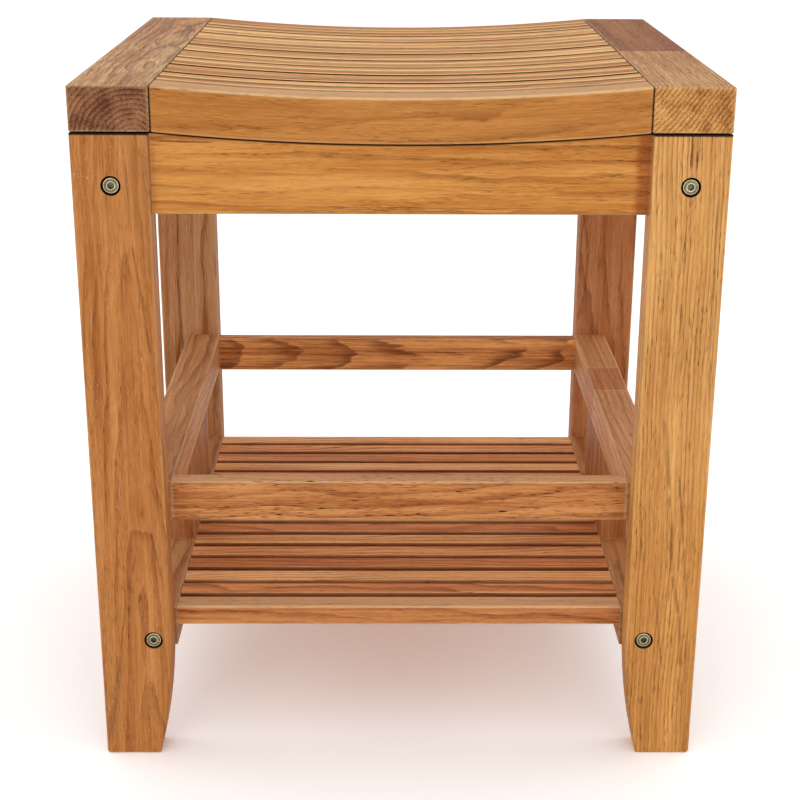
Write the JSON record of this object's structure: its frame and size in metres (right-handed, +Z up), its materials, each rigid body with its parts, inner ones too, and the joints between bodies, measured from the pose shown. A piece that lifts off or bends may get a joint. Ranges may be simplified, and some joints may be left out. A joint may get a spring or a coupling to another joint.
{
  "type": "shower bench",
  "caption": "Teak shower stool with a dished slatted seat, board legs, a slatted lower shelf and an open ring that holds a basket.",
  "frame": {"origin": "on the floor under the middle of the seat", "axes": "+X to the right along the seat's length, +Y to the back, +Z up"},
  "size_m": [0.4, 0.35, 0.459],
  "materials": {
    "teak_legs": "oiled satin, open grain",
    "teak_aprons": "oiled satin, open grain",
    "teak_seat_ends": "oiled satin, open grain",
    "teak_seat_slats": "oiled satin, open grain",
    "teak_shelf_slats": "oiled satin, open grain",
    "teak_rails": "oiled satin, open grain",
    "teak_panels": "oiled satin, open grain",
    "bolt_plating": "plated, satin",
    "nut_plating": "zinc plated",
    "beech_dowels": "plain"
  },
  "bodies": {
    "root": {"leg_front_left": "teak_legs", "leg_front_right": "teak_legs", "leg_back_left": "teak_legs", "leg_back_right": "teak_legs", "apron_front": "teak_aprons", "apron_back": "teak_aprons", "apron_left": "teak_aprons", "apron_right": "teak_aprons", "seat_end_left": "teak_seat_ends", "seat_end_right": "teak_seat_ends", "seat_slat_01": "teak_seat_slats", "seat_slat_02": "teak_seat_slats", "seat_slat_03": "teak_seat_slats", "seat_slat_04": "teak_seat_slats", "seat_slat_05": "teak_seat_slats", "seat_slat_06": "teak_seat_slats", "seat_slat_07": "teak_seat_slats", "seat_slat_08": "teak_seat_slats", "seat_slat_09": "teak_seat_slats", "seat_slat_10": "teak_seat_slats", "seat_slat_11": "teak_seat_slats", "seat_slat_12": "teak_seat_slats", "seat_slat_13": "teak_seat_slats", "seat_slat_14": "teak_seat_slats", "seat_slat_15": "teak_seat_slats", "seat_slat_16": "teak_seat_slats", "seat_slat_17": "teak_seat_slats", "seat_slat_18": "teak_seat_slats", "seat_slat_19": "teak_seat_slats", "seat_slat_20": "teak_seat_slats", "shelf_rail_left": "teak_rails", "shelf_rail_right": "teak_rails", "shelf_slat_01": "teak_shelf_slats", "shelf_slat_02": "teak_shelf_slats", "shelf_slat_03": "teak_shelf_slats", "shelf_slat_04": "teak_shelf_slats", "shelf_slat_05": "teak_shelf_slats", "shelf_slat_06": "teak_shelf_slats", "shelf_slat_07": "teak_shelf_slats", "shelf_slat_08": "teak_shelf_slats", "shelf_slat_09": "teak_shelf_slats", "shelf_slat_10": "teak_shelf_slats", "shelf_slat_11": "teak_shelf_slats", "shelf_slat_12": "teak_shelf_slats", "shelf_slat_13": "teak_shelf_slats", "shelf_slat_14": "teak_shelf_slats", "shelf_slat_15": "teak_shelf_slats", "shelf_slat_16": "teak_shelf_slats", "ring_rail_front": "teak_rails", "ring_rail_back": "teak_rails", "ring_rail_left": "teak_rails", "ring_rail_right": "teak_rails", "side_panel_left": "teak_panels", "side_panel_right": "teak_panels", "connector_bolts": "bolt_plating", "barrel_nuts": "nut_plating", "large_dowels": "beech_dowels", "small_dowels": "beech_dowels"}
  },
  "joints": []
}
